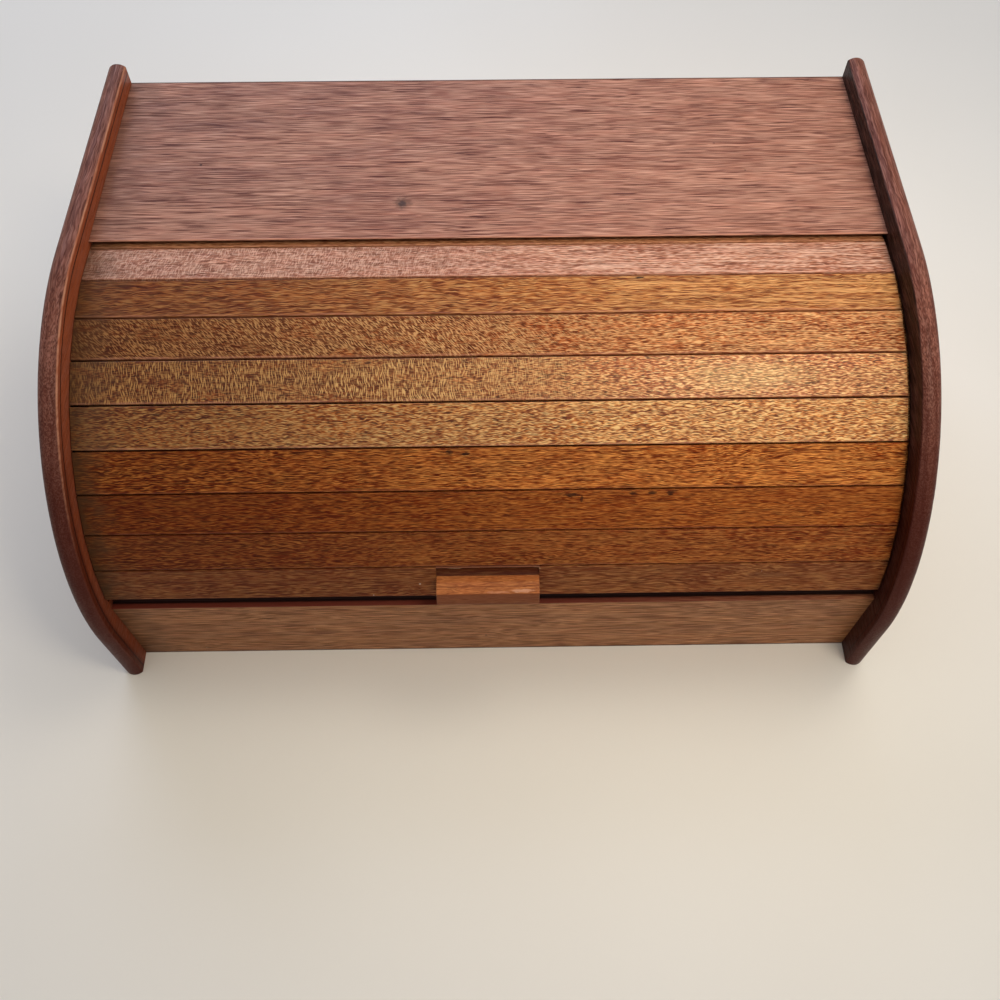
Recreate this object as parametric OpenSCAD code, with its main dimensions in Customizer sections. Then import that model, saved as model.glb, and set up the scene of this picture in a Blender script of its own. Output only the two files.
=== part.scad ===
// Roll-top box: two end cheeks carry a top board, a front rail, a bottom and a
// back. A curtain of slats on a cloth backing runs in round grooves in the cheeks.
// The front is -Y, the back +Y, and the origin is the middle of the footprint.

/* [Case] */
// Clear width between the two end cheeks
inside_w = 400; // [300:5:600]
// Thickness of an end cheek
cheek_t = 10.4; // [9:0.1:14]
// Radius of the cheeks' rounded outer edge, as a share of their thickness
nose_share = 0.58; // [0.5:0.01:0.9]
// Radius of the front top corner of the cheeks
corner_r = 143.5; // [110:0.5:155]
// How far the cheeks stand proud in front of the slats
front_reveal = 10.5; // [7:0.5:20]
// How far the cheeks stand above the top board
top_reveal = 12; // [7:0.5:25]
// Height of the curtain's turning centre above the table
axis_h = 42.5; // [38:0.5:60]

/* [Top board] */
// Depth of the top board from the back edge to its front lip
top_d = 122; // [100:1:126]
// Thickness of the top board
top_t = 9; // [7:0.5:14]
// How far the top board lies above the crown of the slats
top_lip = 2; // [1.6:0.1:5]
// Height of the top board's front edge above its undercut
lip_edge = 0.5; // [0.3:0.1:1.5]
// Clearance between the coved underside and the slats
cove_gap = 0.8; // [0.5:0.1:1.2]

/* [Front rail] */
// Height of the rail's front face
rail_h = 60.5; // [45:0.5:66]
// Thickness of the rail
rail_t = 10; // [8:0.5:16]
// How far the rail's face lies behind the foremost slat edge
rail_setback = 3; // [1:0.5:5]
// Depth of the rebate along the rail's outer top edge
rail_rebate = 4.3; // [3:0.1:5]
// Gap between the lead slat and its seat on the rail
seat_gap = 0.3; // [0.2:0.05:0.6]

/* [Bottom and back] */
// Thickness of the bottom panel
bottom_t = 6; // [4:0.5:8]
// Height of the bottom panel above the table
bottom_lift = 3; // [1:0.5:4]
// How far the bottom panel is let into the cheeks and the rail
housing = 3.5; // [2:0.5:5]
// Thickness of the back panel
back_t = 3.5; // [3:0.5:6]
// Width of the cheek rebates that hold the back panel
back_rebate = 5; // [3:0.5:6]
// Running gap between the slats and the back panel
back_gap = 1; // [0.8:0.1:3]

/* [Curtain] */
// Radius of the slats' outer edges about the turning centre
curtain_r = 133.5; // [120:0.5:150]
// Angle of the lead slat's lower edge forward of the crown, shut
lead_angle = 77.8; // [75:0.1:80]
// Angle of the last slat's edge behind the crown, shut
tail_angle = 24.5; // [20:0.5:27]
// Angle through which the curtain opens
open_angle = 77; // [60:1:77]
// Thickness of a slat
slat_t = 5.5; // [4.5:0.1:7]
// Gap between two slats at the cloth
slat_gap = 0.1; // [0.05:0.05:0.5]
// Chamfer along the outer edges of a slat
slat_ease = 0.4; // [0.2:0.1:0.8]
// Thickness of the tongues at the slats' ends
tongue_t = 3; // [2:0.1:3.5]
// Side play of the slats between the cheeks
side_play = 1.6; // [0.8:0.1:3]
// How far the curtain sits to the left of the middle
side_shift = 0.5; // [0:0.1:0.6]
// Thickness of the cloth backing
cloth_t = 0.6; // [0.4:0.1:1.2]
// Distance of the cloth's edges from the cheeks
cloth_inset = 8; // [4:1:30]

/* [Grooves] */
// Depth of the curtain grooves in the cheeks
groove_depth = 5; // [4:0.5:6]
// Clearance between a tongue and each wall of its groove
groove_gap = 0.3; // [0.2:0.05:0.6]
// Clearance between the tongues' ends and the groove floor
tongue_end_gap = 0.8; // [0.7:0.1:2]
// Run of the groove past the curtain at both ends, in degrees
groove_over = 2; // [1:0.5:3]

/* [Pull] */
// Width of the pull
pull_w = 52; // [30:1:120]
// Height of the pull's glued face
pull_h = 11.6; // [9:0.2:14.4]
// How far the pull stands out from the slat
pull_out = 8.9; // [6:0.1:12]
// Bevel along the pull's upper front edge
pull_bevel = 4.2; // [1:0.1:5]
// Distance of the pull below the lead slat's upper edge
pull_drop = 6; // [5:0.1:7]
// Sideways place of the pull from the middle of the slat
pull_side = -2.5; // [-40:0.1:40]
// Radius of the finger hollow above the pull
hollow_r = 3.6; // [3:0.1:5]
// Depth of the finger hollow
hollow_depth = 1.6; // [0.5:0.1:2]

/* [Fixings] */
// Diameter of the corner dowels
dowel_d = 5; // [4:0.5:6]
// Length of a dowel
dowel_l = 22; // [16:1:30]
// How far a dowel enters a cheek
dowel_in = 7; // [4:0.5:8]
// Diameter of the panel pins in the back
pin_d = 1.6; // [1:0.1:2]
// Length of a panel pin
pin_l = 12; // [8:0.5:14]
// Diameter of the pull's screws
screw_d = 3; // [2:0.5:4]
// Length of the pull's screws
screw_l = 12; // [9:0.5:13]
// Distance between the pull's screws
screw_span = 30; // [15:1:60]

/* [Hidden] */
slat_count = 11;
eps = 0.01;
fit_gap = 0.1;
$fn = 96;

// Outer sizes that follow from the curtain's circle
case_h = axis_h + curtain_r + top_lip + top_reveal;
centre_to_back = curtain_r + back_gap + back_t;
case_d = centre_to_back + curtain_r + front_reveal;
back_y = case_d / 2;
axis_y = back_y - centre_to_back;
cheek_x = inside_w / 2;
nose_r = nose_share * cheek_t;

// Curtain section: flat slats on a many-sided ring
slat_step = (lead_angle + tail_angle) / slat_count;
face_r = curtain_r * cos(slat_step / 2);
inner_r = face_r - slat_t;
slat_w = 2 * inner_r * tan(slat_step / 2) - slat_gap;
tongue_r = norm([inner_r + tongue_t, slat_w / 2]);
slat_body_w = inside_w - side_play;
slat_full_w = inside_w + 2 * (groove_depth - tongue_end_gap);
cloth_w = inside_w - 2 * cloth_inset;
lead_mid = lead_angle - slat_step / 2;

// Top board
top_z = axis_h + curtain_r + top_lip;
top_y = back_y - top_d;
cove_r = curtain_r + cove_gap;

// Front rail
rail_y = axis_y - curtain_r + rail_setback;
rail_back_y = rail_y + rail_t;
step_y = rail_y + rail_rebate;

// Pull and its screws, on the lead slat
pull_top = slat_w / 2 - pull_drop;
pull_bottom = pull_top - pull_h;
screw_head_d = 2 * screw_d;
screw_head_h = screw_d / 2;
screw_y = (pull_top + pull_bottom) / 2;
pull_x = pull_side - side_shift;

// Dowels and pins: [y, z] of the dowels, [x, z] of the pins
dowel_cheek_hole = dowel_in + fit_gap;
dowel_spots = [
    [back_y - dowel_l, top_z - top_t / 2],
    [back_y - top_d / 2, top_z - top_t / 2],
    [rail_y + rail_t / 2, bottom_lift + bottom_t + 2 * dowel_d],
    [rail_y + rail_t / 2, rail_h - 2 * dowel_d]
];
pin_x = cheek_x + back_rebate / 2;
pin_head_d = 2 * pin_d;
pin_head_h = pin_d / 3;
cheek_pin_z = [axis_h + curtain_r / 2 - pin_l, axis_h + curtain_r - 2 * pin_l];
bottom_pin_x = [-inside_w / 3, 0, inside_w / 3];
pin_spots = concat(
    [for (z = cheek_pin_z, s = [-1, 1]) [s * pin_x, z]],
    [for (x = bottom_pin_x) [x, bottom_lift + bottom_t / 2]]
);

// Height of the seat for the lead slat's lower end, at depth y
function seat_z(y) =
    let (
        edge = -slat_w / 2 - seat_gap,
        out = (axis_y + edge * cos(lead_mid) - y) / sin(lead_mid)
    )
    axis_h + edge * sin(lead_mid) + out * cos(lead_mid);

// A point of the curtain's ring, at radius r and a degrees forward of the crown
function ring_point(r, a) = [axis_y - r * sin(a), axis_h + r * cos(a)];

// A YZ outline drawn out along X from x0 to x1
module along_x(x0, x1) {
    translate([x0, 0, 0])
        rotate([90, 0, 90])
            linear_extrude(x1 - x0)
                children();
}

// Puts a piece drawn at the crown of the circle a degrees forward of it
module on_ring(a) {
    translate([0, axis_y, axis_h])
        rotate([a, 0, 0])
            children();
}

// Section of a cheek, from its middle out to the rounded edge at reach. The
// round is tangent to the outer face and meets the inner face in an arris.
module cheek_section(reach) {
    square([reach - nose_r, cheek_t]);
    translate([reach - nose_r, cheek_t - nose_r])
        intersection() {
            circle(nose_r);
            translate([0, nose_r - cheek_t])
                square([nose_r, cheek_t]);
        }
}

// A plain cheek with its inner face on x = 0 and its body on +x
module cheek_blank() {
    corner_y = corner_r - back_y;
    corner_z = case_h - corner_r;
    // Rounded front top corner
    translate([0, corner_y, corner_z])
        rotate([90, 0, 90])
            rotate([0, 0, 90])
                rotate_extrude(angle = 90, $fn = 180)
                    cheek_section(corner_r);
    // Top edge, back from the corner
    translate([0, back_y, corner_z])
        rotate([90, -90, 0])
            linear_extrude(back_y - corner_y)
                mirror([0, 1, 0])
                    cheek_section(corner_r);
    // Front edge, below the corner
    translate([0, corner_y, 0])
        rotate([0, 0, 180])
            rotate([0, 0, 90])
                linear_extrude(corner_z)
                    cheek_section(corner_r);
    // Lower back
    translate([0, corner_y, 0])
        cube([cheek_t, back_y - corner_y, corner_z]);
}

// Round groove for the slats' tongues, cut from x = 0 into the cheek
module curtain_groove() {
    first = -tail_angle - open_angle - groove_over;
    last = lead_angle + groove_over;
    r0 = inner_r - groove_gap;
    r1 = tongue_r + groove_gap;
    translate([0, axis_y, axis_h])
        rotate([90, 0, 90])
            rotate([0, 0, 90 + first])
                rotate_extrude(angle = last - first, $fn = 180)
                    translate([r0, -eps])
                        square([r1 - r0, groove_depth + eps]);
}

module cheek() {
    difference() {
        cheek_blank();
        curtain_groove();
        // Housing for the bottom panel
        translate([-eps, rail_back_y - housing, bottom_lift - fit_gap])
            cube([housing + eps, back_y - back_t - rail_back_y + housing + eps, bottom_t + 2 * fit_gap]);
        // Rebate for the back panel
        translate([-eps, back_y - back_t, -eps])
            cube([back_rebate + eps, back_t + eps, top_z - top_t + eps]);
        // Dowel holes
        for (p = dowel_spots)
            translate([-eps, p[0], p[1]])
                rotate([0, 90, 0])
                    cylinder(h = dowel_cheek_hole + eps, d = dowel_d + fit_gap);
        // Pin holes
        for (z = cheek_pin_z)
            translate([pin_x - cheek_x, back_y - pin_l - fit_gap, z])
                rotate([-90, 0, 0])
                    cylinder(h = pin_l, d = pin_d + fit_gap);
    }
}

module right_cheek() {
    color([0.36, 0.17, 0.12])
        translate([cheek_x, 0, 0])
            cheek();
}

module left_cheek() {
    color([0.36, 0.17, 0.12])
        mirror([1, 0, 0])
            translate([cheek_x, 0, 0])
                cheek();
}

// Dowel holes in the end grain of a board, for the spots first to last
module end_holes(first, last) {
    for (s = [-1, 1], i = [first:last])
        translate([s * cheek_x, dowel_spots[i][0], dowel_spots[i][1]])
            rotate([0, -90 * s, 0])
                translate([0, 0, -eps])
                    cylinder(h = dowel_l - dowel_in + fit_gap, d = dowel_d + fit_gap);
}

module top_board() {
    color([0.62, 0.38, 0.30])
        difference() {
            translate([-cheek_x, top_y, top_z - top_t])
                cube([inside_w, top_d, top_t]);
            // Undercut behind the thin front edge
            along_x(-cheek_x - 1, cheek_x + 1)
                polygon([
                    [top_y - 1, top_z - lip_edge + 1],
                    [top_y - 1, top_z - top_t - 1],
                    [top_y + top_t + 1 - lip_edge, top_z - top_t - 1]
                ]);
            // Cove that lets the slats pass under the front lip
            translate([-cheek_x - 1, axis_y, axis_h])
                rotate([0, 90, 0])
                    cylinder(h = inside_w + 2, r = cove_r, $fn = 180);
            end_holes(0, 1);
        }
}

module front_rail() {
    color([0.45, 0.27, 0.18])
        difference() {
            along_x(-cheek_x, cheek_x)
                polygon([
                    [rail_y, 0],
                    [rail_back_y, 0],
                    [rail_back_y, seat_z(rail_back_y)],
                    [step_y, seat_z(step_y)],
                    [step_y, rail_h],
                    [rail_y, rail_h]
                ]);
            // Groove for the bottom panel
            translate([-cheek_x - 1, rail_back_y - housing, bottom_lift - fit_gap])
                cube([inside_w + 2, housing + 1, bottom_t + 2 * fit_gap]);
            end_holes(2, 3);
        }
}

module bottom_panel() {
    front_y = rail_back_y - housing + fit_gap;
    half_w = cheek_x + housing - fit_gap;
    color([0.70, 0.55, 0.38])
        difference() {
            translate([-half_w, front_y, bottom_lift])
                cube([2 * half_w, back_y - back_t - front_y, bottom_t]);
            for (x = bottom_pin_x)
                translate([x, back_y - pin_l - fit_gap, bottom_lift + bottom_t / 2])
                    rotate([-90, 0, 0])
                        cylinder(h = pin_l, d = pin_d + fit_gap);
        }
}

module back_panel() {
    half_w = cheek_x + back_rebate - fit_gap;
    color([0.66, 0.48, 0.32])
        difference() {
            translate([-half_w, back_y - back_t, bottom_lift])
                cube([2 * half_w, back_t, top_z - top_t - bottom_lift]);
            for (p = pin_spots)
                translate([p[0], back_y, p[1]])
                    rotate([90, 0, 0]) {
                        translate([0, 0, -eps])
                            cylinder(h = back_t + 1, d = pin_d + fit_gap);
                        translate([0, 0, -eps])
                            cylinder(h = pin_head_h + eps, d = pin_head_d + fit_gap);
                    }
        }
}

module corner_dowels() {
    color([0.80, 0.66, 0.45])
        for (s = [-1, 1], p = dowel_spots)
            translate([s * (cheek_x + dowel_in), p[0], p[1]])
                rotate([0, -90 * s, 0])
                    cylinder(h = dowel_l, d = dowel_d);
}

module panel_pins() {
    color([0.55, 0.50, 0.42])
        for (p = pin_spots)
            translate([p[0], back_y, p[1]])
                rotate([90, 0, 0]) {
                    cylinder(h = pin_l, d = pin_d);
                    cylinder(h = pin_head_h, d = pin_head_d);
                }
}

// Section of a slat at the crown: flat inside, eased outer edges
module slat_section() {
    half = slat_w / 2;
    polygon([
        [-half, inner_r],
        [half, inner_r],
        [half, face_r - slat_ease],
        [half - slat_ease, face_r],
        [-half + slat_ease, face_r],
        [-half, face_r - slat_ease]
    ]);
}

// Slat with a thin tongue at each end, lying at the crown
module slat_blank() {
    along_x(-slat_body_w / 2 - side_shift, slat_body_w / 2 - side_shift)
        slat_section();
    along_x(-slat_full_w / 2 - side_shift, slat_full_w / 2 - side_shift)
        translate([-slat_w / 2, inner_r])
            square([slat_w, tongue_t]);
}

// Slat number i, counted up from the lead slat at the front
module slat(i) {
    color([0.66 - 0.01 * abs(i - 6), 0.36, 0.16])
        on_ring(lead_angle - (i - 0.5) * slat_step)
            slat_blank();
}

// Screw shank and sunk head at the crown, grown by gap all round
module pull_screw(x, gap) {
    translate([x, screw_y, inner_r]) {
        cylinder(h = screw_l + gap, d = screw_d + gap);
        cylinder(h = screw_head_h + gap, d1 = screw_head_d + gap, d2 = screw_d);
    }
}

// Lead slat: a finger hollow above the pull, and two screw holes behind it
module slat_01() {
    color([0.45, 0.26, 0.16])
        on_ring(lead_mid)
            difference() {
                slat_blank();
                translate([
                    pull_x - pull_w / 2,
                    slat_w / 2 - pull_drop / 2,
                    face_r + hollow_r - hollow_depth
                ])
                    rotate([0, 90, 0])
                        cylinder(h = pull_w, r = hollow_r);
                for (s = [-1, 1])
                    translate([0, 0, -eps])
                        pull_screw(pull_x + s * screw_span / 2, fit_gap);
            }
}

module cloth_backing() {
    ends = cos(slat_step / 2);
    steps = [0:slat_count];
    color([0.62, 0.56, 0.44])
        along_x(-cloth_w / 2 - side_shift, cloth_w / 2 - side_shift)
            polygon(concat(
                [for (i = steps) ring_point(inner_r / ends, lead_angle - i * slat_step)],
                [for (i = steps) ring_point((inner_r - cloth_t) / ends, i * slat_step - tail_angle)]
            ));
}

module pull() {
    color([0.60, 0.32, 0.17])
        on_ring(lead_mid)
            difference() {
                along_x(pull_x - pull_w / 2, pull_x + pull_w / 2)
                    polygon([
                        [pull_bottom, face_r],
                        [pull_top, face_r],
                        [pull_top, face_r + pull_out - pull_bevel],
                        [pull_top - pull_bevel, face_r + pull_out],
                        [pull_bottom, face_r + pull_out]
                    ]);
                for (s = [-1, 1])
                    pull_screw(pull_x + s * screw_span / 2, fit_gap);
            }
}

module pull_screws() {
    color([0.72, 0.60, 0.34])
        on_ring(lead_mid)
            for (s = [-1, 1])
                pull_screw(pull_x + s * screw_span / 2, 0);
}

left_cheek();
right_cheek();
top_board();
front_rail();
bottom_panel();
back_panel();
corner_dowels();
panel_pins();
slat_01();
slat(2);  // slat_02
slat(3);  // slat_03
slat(4);  // slat_04
slat(5);  // slat_05
slat(6);  // slat_06
slat(7);  // slat_07
slat(8);  // slat_08
slat(9);  // slat_09
slat(10);  // slat_10
slat(11);  // slat_11
cloth_backing();
pull();
pull_screws();
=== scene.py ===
"""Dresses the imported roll-top box in wood, canvas, steel and brass, under soft studio light."""
import logging
import math
from dataclasses import dataclass
from enum import Enum
from typing import Any, Callable, Mapping, Optional, Sequence, Union

import bmesh
import bpy
from mathutils import Matrix, Vector


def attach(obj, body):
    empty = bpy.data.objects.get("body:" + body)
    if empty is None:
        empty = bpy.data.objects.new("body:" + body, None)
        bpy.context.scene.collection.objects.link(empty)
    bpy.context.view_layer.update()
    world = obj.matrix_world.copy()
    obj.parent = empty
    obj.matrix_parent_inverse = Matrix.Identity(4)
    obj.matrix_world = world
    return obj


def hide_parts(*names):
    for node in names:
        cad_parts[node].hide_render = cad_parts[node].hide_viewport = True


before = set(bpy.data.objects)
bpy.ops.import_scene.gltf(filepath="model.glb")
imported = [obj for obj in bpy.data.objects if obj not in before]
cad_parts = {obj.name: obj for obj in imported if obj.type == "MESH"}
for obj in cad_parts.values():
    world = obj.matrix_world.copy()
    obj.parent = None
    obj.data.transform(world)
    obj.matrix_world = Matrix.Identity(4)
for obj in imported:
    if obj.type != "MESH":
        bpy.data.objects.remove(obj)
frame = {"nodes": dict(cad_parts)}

log = logging.getLogger("roll_top_box")

MM = 0.001
HAIR = 0.001  # margin in millimetres when edges are picked by their place
WELD = 0.00001  # points closer than this become one
ROUND_STEPS = 64
CRISP = 46.0  # degrees between faces from which an edge is shaded crisp
Point = tuple[float, float]
Triple = tuple[float, float, float]
Colour = tuple[float, float, float, float]


def tone(red: int, green: int, blue: int) -> Colour:
    """Turns a screen colour, each part from 0 to 255, into the linear colour that a shader takes."""
    linear = [((c / 255 + 0.055) / 1.055) ** 2.4 if c > 10 else c / 255 / 12.92 for c in (red, green, blue)]
    return (linear[0], linear[1], linear[2], 1.0)


# ---------------------------------------------------------------- shader tree


class Signal:
    """A number that varies over a surface, written in plain sums."""

    def __init__(self, shader: "Shader", socket: bpy.types.NodeSocket) -> None:
        """Wraps one output socket of a shader's tree."""
        self.shader = shader
        self.socket = socket

    def math(self, operation: str, *others: Any) -> "Signal":
        """Adds a Math node.

        Args:
            operation: The Math node's operation.
            others: The further inputs, signals or numbers.

        Returns:
            The node's result.
        """
        node = self.shader.node("ShaderNodeMath", {"operation": operation}, dict(enumerate((self, *others))))
        return Signal(self.shader, node.outputs[0])

    def __add__(self, other: Any) -> "Signal":
        """Sum."""
        return self.math("ADD", other)

    def __sub__(self, other: Any) -> "Signal":
        """Difference."""
        return self.math("SUBTRACT", other)

    def __rsub__(self, other: float) -> "Signal":
        """Difference from a number."""
        return self.shader.number(other).math("SUBTRACT", self)

    def __mul__(self, other: Any) -> "Signal":
        """Product."""
        return self.math("MULTIPLY", other)

    def __truediv__(self, other: Any) -> "Signal":
        """Quotient."""
        return self.math("DIVIDE", other)

    def __abs__(self) -> "Signal":
        """Size without sign."""
        return self.math("ABSOLUTE")

    __radd__ = __add__
    __rmul__ = __mul__

    def spread(self, low: float, high: float) -> "Signal":
        """Runs smoothly from 0, where the value is low, to 1, where it is high."""
        sockets = {"Value": self, "From Min": low, "From Max": high}
        node = self.shader.node("ShaderNodeMapRange", {"interpolation_type": "SMOOTHSTEP"}, sockets)
        return Signal(self.shader, node.outputs[0])


class Shader:
    """One material and the nodes in it."""

    def __init__(self, name: str) -> None:
        """Starts a material with one Principled surface."""
        self.material = bpy.data.materials.new(name)
        self.material.use_nodes = True
        self.tree = self.material.node_tree
        self.tree.nodes.clear()
        self.surface = self.node("ShaderNodeBsdfPrincipled")
        output = self.node("ShaderNodeOutputMaterial")
        self.tree.links.new(self.surface.outputs[0], output.inputs["Surface"])

    def node(
        self,
        kind: str,
        settings: Optional[Mapping[str, Any]] = None,
        sockets: Optional[Mapping[Union[str, int], Any]] = None,
    ) -> bpy.types.Node:
        """Adds a node.

        Args:
            kind: The node's type.
            settings: The node's own properties, set first.
            sockets: Values or links of its input sockets.

        Returns:
            The new node.
        """
        node = self.tree.nodes.new(kind)
        for key, value in (settings or {}).items():
            setattr(node, key, value)
        for key, value in (sockets or {}).items():
            self.feed(node.inputs[key], value)
        return node

    def feed(self, socket: bpy.types.NodeSocket, value: Any) -> None:
        """Links a signal to a socket, or sets a constant on it."""
        if isinstance(value, Signal):
            self.tree.links.new(value.socket, socket)
        else:
            socket.default_value = value

    def number(self, value: float) -> Signal:
        """A constant, for sums that start with one."""
        node = self.node("ShaderNodeMath", {"operation": "ADD"}, {0: value, 1: 0.0})
        return Signal(self, node.outputs[0])

    def blend(self, share: Any, first: Any, second: Any, way: str = "MIX") -> Signal:
        """Mixes two colours.

        Args:
            share: How much of the second one shows.
            first: The colour below.
            second: The colour above.
            way: The Mix node's blend type.

        Returns:
            The mixed colour.
        """
        settings = {"data_type": "RGBA", "blend_type": way, "clamp_factor": True}
        node = self.node("ShaderNodeMix", settings, {0: share, 6: first, 7: second})
        return Signal(self, node.outputs[2])

    def placed(self, place: "Placement") -> Signal:
        """Object coordinates in millimetres, laid along a board's grain.

        Args:
            place: Where the board's own origin is and how the board is turned.

        Returns:
            The coordinate vector: x along the grain, y across it and z through the board.
        """
        coordinates = self.node("ShaderNodeTexCoord")
        turn = place.turn()
        sockets = {
            "Vector": Signal(self, coordinates.outputs["Object"]),
            "Location": -(turn @ Vector(place.centre)),
            "Rotation": turn.to_euler("XYZ"),
            "Scale": (1 / MM, 1 / MM, 1 / MM),
        }
        return Signal(self, self.node("ShaderNodeMapping", {"vector_type": "POINT"}, sockets).outputs[0])

    def split(self, vector: Signal) -> tuple[Signal, Signal, Signal]:
        """The three parts of a vector."""
        node = self.node("ShaderNodeSeparateXYZ", None, {0: vector})
        return (Signal(self, node.outputs[0]), Signal(self, node.outputs[1]), Signal(self, node.outputs[2]))

    def join(self, x: Any, y: Any, z: Any) -> Signal:
        """A vector of three parts."""
        return Signal(self, self.node("ShaderNodeCombineXYZ", None, {0: x, 1: y, 2: z}).outputs[0])

    def moved(self, vector: Signal, sizes: Sequence[float], shift: Triple) -> Signal:
        """Coordinates that count cells of the given sizes, after a shift."""
        sockets = {0: vector, 1: [1 / s for s in sizes], 2: shift}
        node = self.node("ShaderNodeVectorMath", {"operation": "MULTIPLY_ADD"}, sockets)
        return Signal(self, node.outputs[0])

    def noise(self, vector: Signal, sizes: Triple, seed: float, detail: float = 1.0, rough: float = 0.5) -> Signal:
        """Cloudy noise with its own size along each direction.

        Args:
            vector: The coordinates, in millimetres.
            sizes: Length of one cloud along x, y and z, in millimetres.
            seed: Moves the pattern, so that no two boards are alike.
            detail: Octaves of finer noise.
            rough: Strength of the finer noise.

        Returns:
            The noise, about 0.5 on average.
        """
        cells = self.moved(vector, sizes, (seed * 3.7, seed * 7.3, seed * 5.9))
        sockets = {"Vector": cells, "Scale": 1.0, "Detail": detail, "Roughness": rough}
        return Signal(self, self.node("ShaderNodeTexNoise", {"noise_dimensions": "3D"}, sockets).outputs[0])

    def specks(self, vector: Signal, cell: float, radius: float, seed: float) -> Signal:
        """Small round specks, one in each cell.

        Args:
            vector: The coordinates, in millimetres.
            cell: Distance between specks.
            radius: Radius of a speck.
            seed: Moves the pattern.

        Returns:
            1 on a speck and 0 beside it.
        """
        cells = self.moved(vector, (cell, cell, cell), (seed, seed * 2.1, seed * 1.3))
        node = self.node("ShaderNodeTexVoronoi", {"feature": "F1"}, {"Vector": cells, "Scale": 1.0})
        return 1.0 - Signal(self, node.outputs["Distance"]).spread(0.6 * radius / cell, radius / cell)

    def dress(
        self, colour: Any, roughness: Any, height: Optional[Signal] = None, relief: float = 0.0, metallic: float = 0.0
    ) -> bpy.types.Material:
        """Joins the finished colour, gloss and relief to the surface.

        Args:
            colour: Base colour.
            roughness: Roughness.
            height: Relief from 0 to 1.
            relief: Height of the relief, in millimetres.
            metallic: How metallic the surface is.

        Returns:
            The material.
        """
        for name, value in (("Base Color", colour), ("Roughness", roughness), ("Metallic", metallic)):
            self.feed(self.surface.inputs[name], value)
        if height is not None:
            bump = self.node("ShaderNodeBump", None, {"Strength": 1.0, "Distance": relief * MM, "Height": height})
            self.tree.links.new(bump.outputs[0], self.surface.inputs["Normal"])
        return self.material


# ------------------------------------------------------------------- finishes


class Grain(Enum):
    """Which way a board's grain runs."""

    SIDEWAYS = "X"
    FRONT_TO_BACK = "Y"


@dataclass(frozen=True)
class Placement:
    """Where a board's own origin is, and how far it is turned about X."""

    centre: Triple = (0.0, 0.0, 0.0)
    lean: float = 0.0
    grain: Grain = Grain.SIDEWAYS

    def turn(self) -> Matrix:
        """Rotation from the object's directions to the board's own."""
        if self.grain is Grain.FRONT_TO_BACK:
            return Matrix.Rotation(math.radians(-90), 3, "Z")
        return Matrix.Rotation(math.radians(-self.lean), 3, "X")


class Face:
    """A board's surface in work: its coordinates, and the colour and relief so far."""

    def __init__(self, name: str, place: Placement, seed: float, colour: Colour) -> None:
        """Starts a material in a board's own directions.

        Args:
            name: The material's name.
            place: How the board lies.
            seed: Moves every pattern on the board.
            colour: The ground colour.
        """
        self.shader = Shader(name)
        self.spot = self.shader.placed(place)
        self.x, self.y, self.z = self.shader.split(self.spot)
        self.seed = seed
        self.colour: Any = colour
        self.height: Optional[Signal] = None

    def noise(
        self, sizes: Triple, shift: float, detail: float = 1.0, rough: float = 0.5, spot: Optional[Signal] = None
    ) -> Signal:
        """Noise from the board's seed.

        Args:
            sizes: Length of one cloud along x, y and z, in millimetres.
            shift: Sets one pattern of the board apart from the others.
            detail: Octaves of finer noise.
            rough: Strength of the finer noise.
            spot: Other coordinates than the board's own.

        Returns:
            The noise, about 0.5 on average.
        """
        return self.shader.noise(spot or self.spot, sizes, self.seed + shift, detail, rough)

    def lay(self, share: Any, colour: Colour, way: str = "MIX") -> None:
        """Lays a share of a colour over the colour so far."""
        self.colour = self.shader.blend(share, self.colour, colour, way)

    def material(self, rough: Any, relief: float, metallic: float = 0.0) -> bpy.types.Material:
        """Joins the colour and the relief to the surface."""
        return self.shader.dress(self.colour, rough, self.height, relief, metallic)


class Layer:
    """Something that lies over a board's grain."""

    def lay(self, face: Face, wood: "Wood") -> None:
        """Adds itself to a board's surface."""
        raise NotImplementedError


@dataclass(frozen=True)
class Fleck(Layer):
    """Ray fleck: short pale strokes that cross the grain, on a darker ground."""

    strength: float
    angle: float
    length: float = 3.4
    width: float = 0.6
    start: float = -212.0
    end: float = 60.0
    shade: float = 0.35

    def lay(self, face: Face, wood: "Wood") -> None:
        """Lays the strokes over the grain and raises them a little."""
        sway = (face.noise((16.0, 7.0, 7.0), 7) - 0.5) * 3.0
        c, s = math.cos(math.radians(self.angle)), math.sin(math.radians(self.angle))
        along = face.x * c + face.y * s + sway
        over = face.y * c - face.x * s + face.z
        turned = face.shader.join(over, along, face.z)
        strokes = face.noise((self.length, self.width, 4.0), 8, 0.0, spot=turned)
        patches = face.noise((24.0, 8.0, 8.0), 9).spread(0.28, 0.5)
        region = face.x.spread(self.start - 12, self.start + 12) * (1.0 - face.x.spread(self.end - 60, self.end + 60))
        shown = strokes.spread(0.52, 0.66) * patches * region * self.strength
        face.lay(patches * region * self.shade, wood.deep)
        face.lay(strokes.spread(0.48, 0.36) * region * (0.5 * self.strength), wood.pore)
        face.lay(shown, wood.pale)
        face.height = face.height + shown * 0.4


@dataclass(frozen=True)
class Mark(Layer):
    """A stain, knot, scuff or painted highlight at a place on a board, in the board's own directions."""

    x: float
    y: float
    wide: float
    tall: float
    colour: Colour
    strength: float = 0.85

    def lay(self, face: Face, wood: "Wood") -> None:
        """Lays a round place with a ragged edge."""
        dx = (face.x - self.x) / self.wide
        dy = (face.y - self.y) / self.tall
        ragged = face.shader.noise(face.spot, (2.6, 1.1, 1.1), self.x * 0.1, 2.0) * 1.4
        there = 1.0 - (dx * dx + dy * dy + ragged).spread(0.75, 1.35)
        face.lay(there * self.strength, self.colour)


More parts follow.
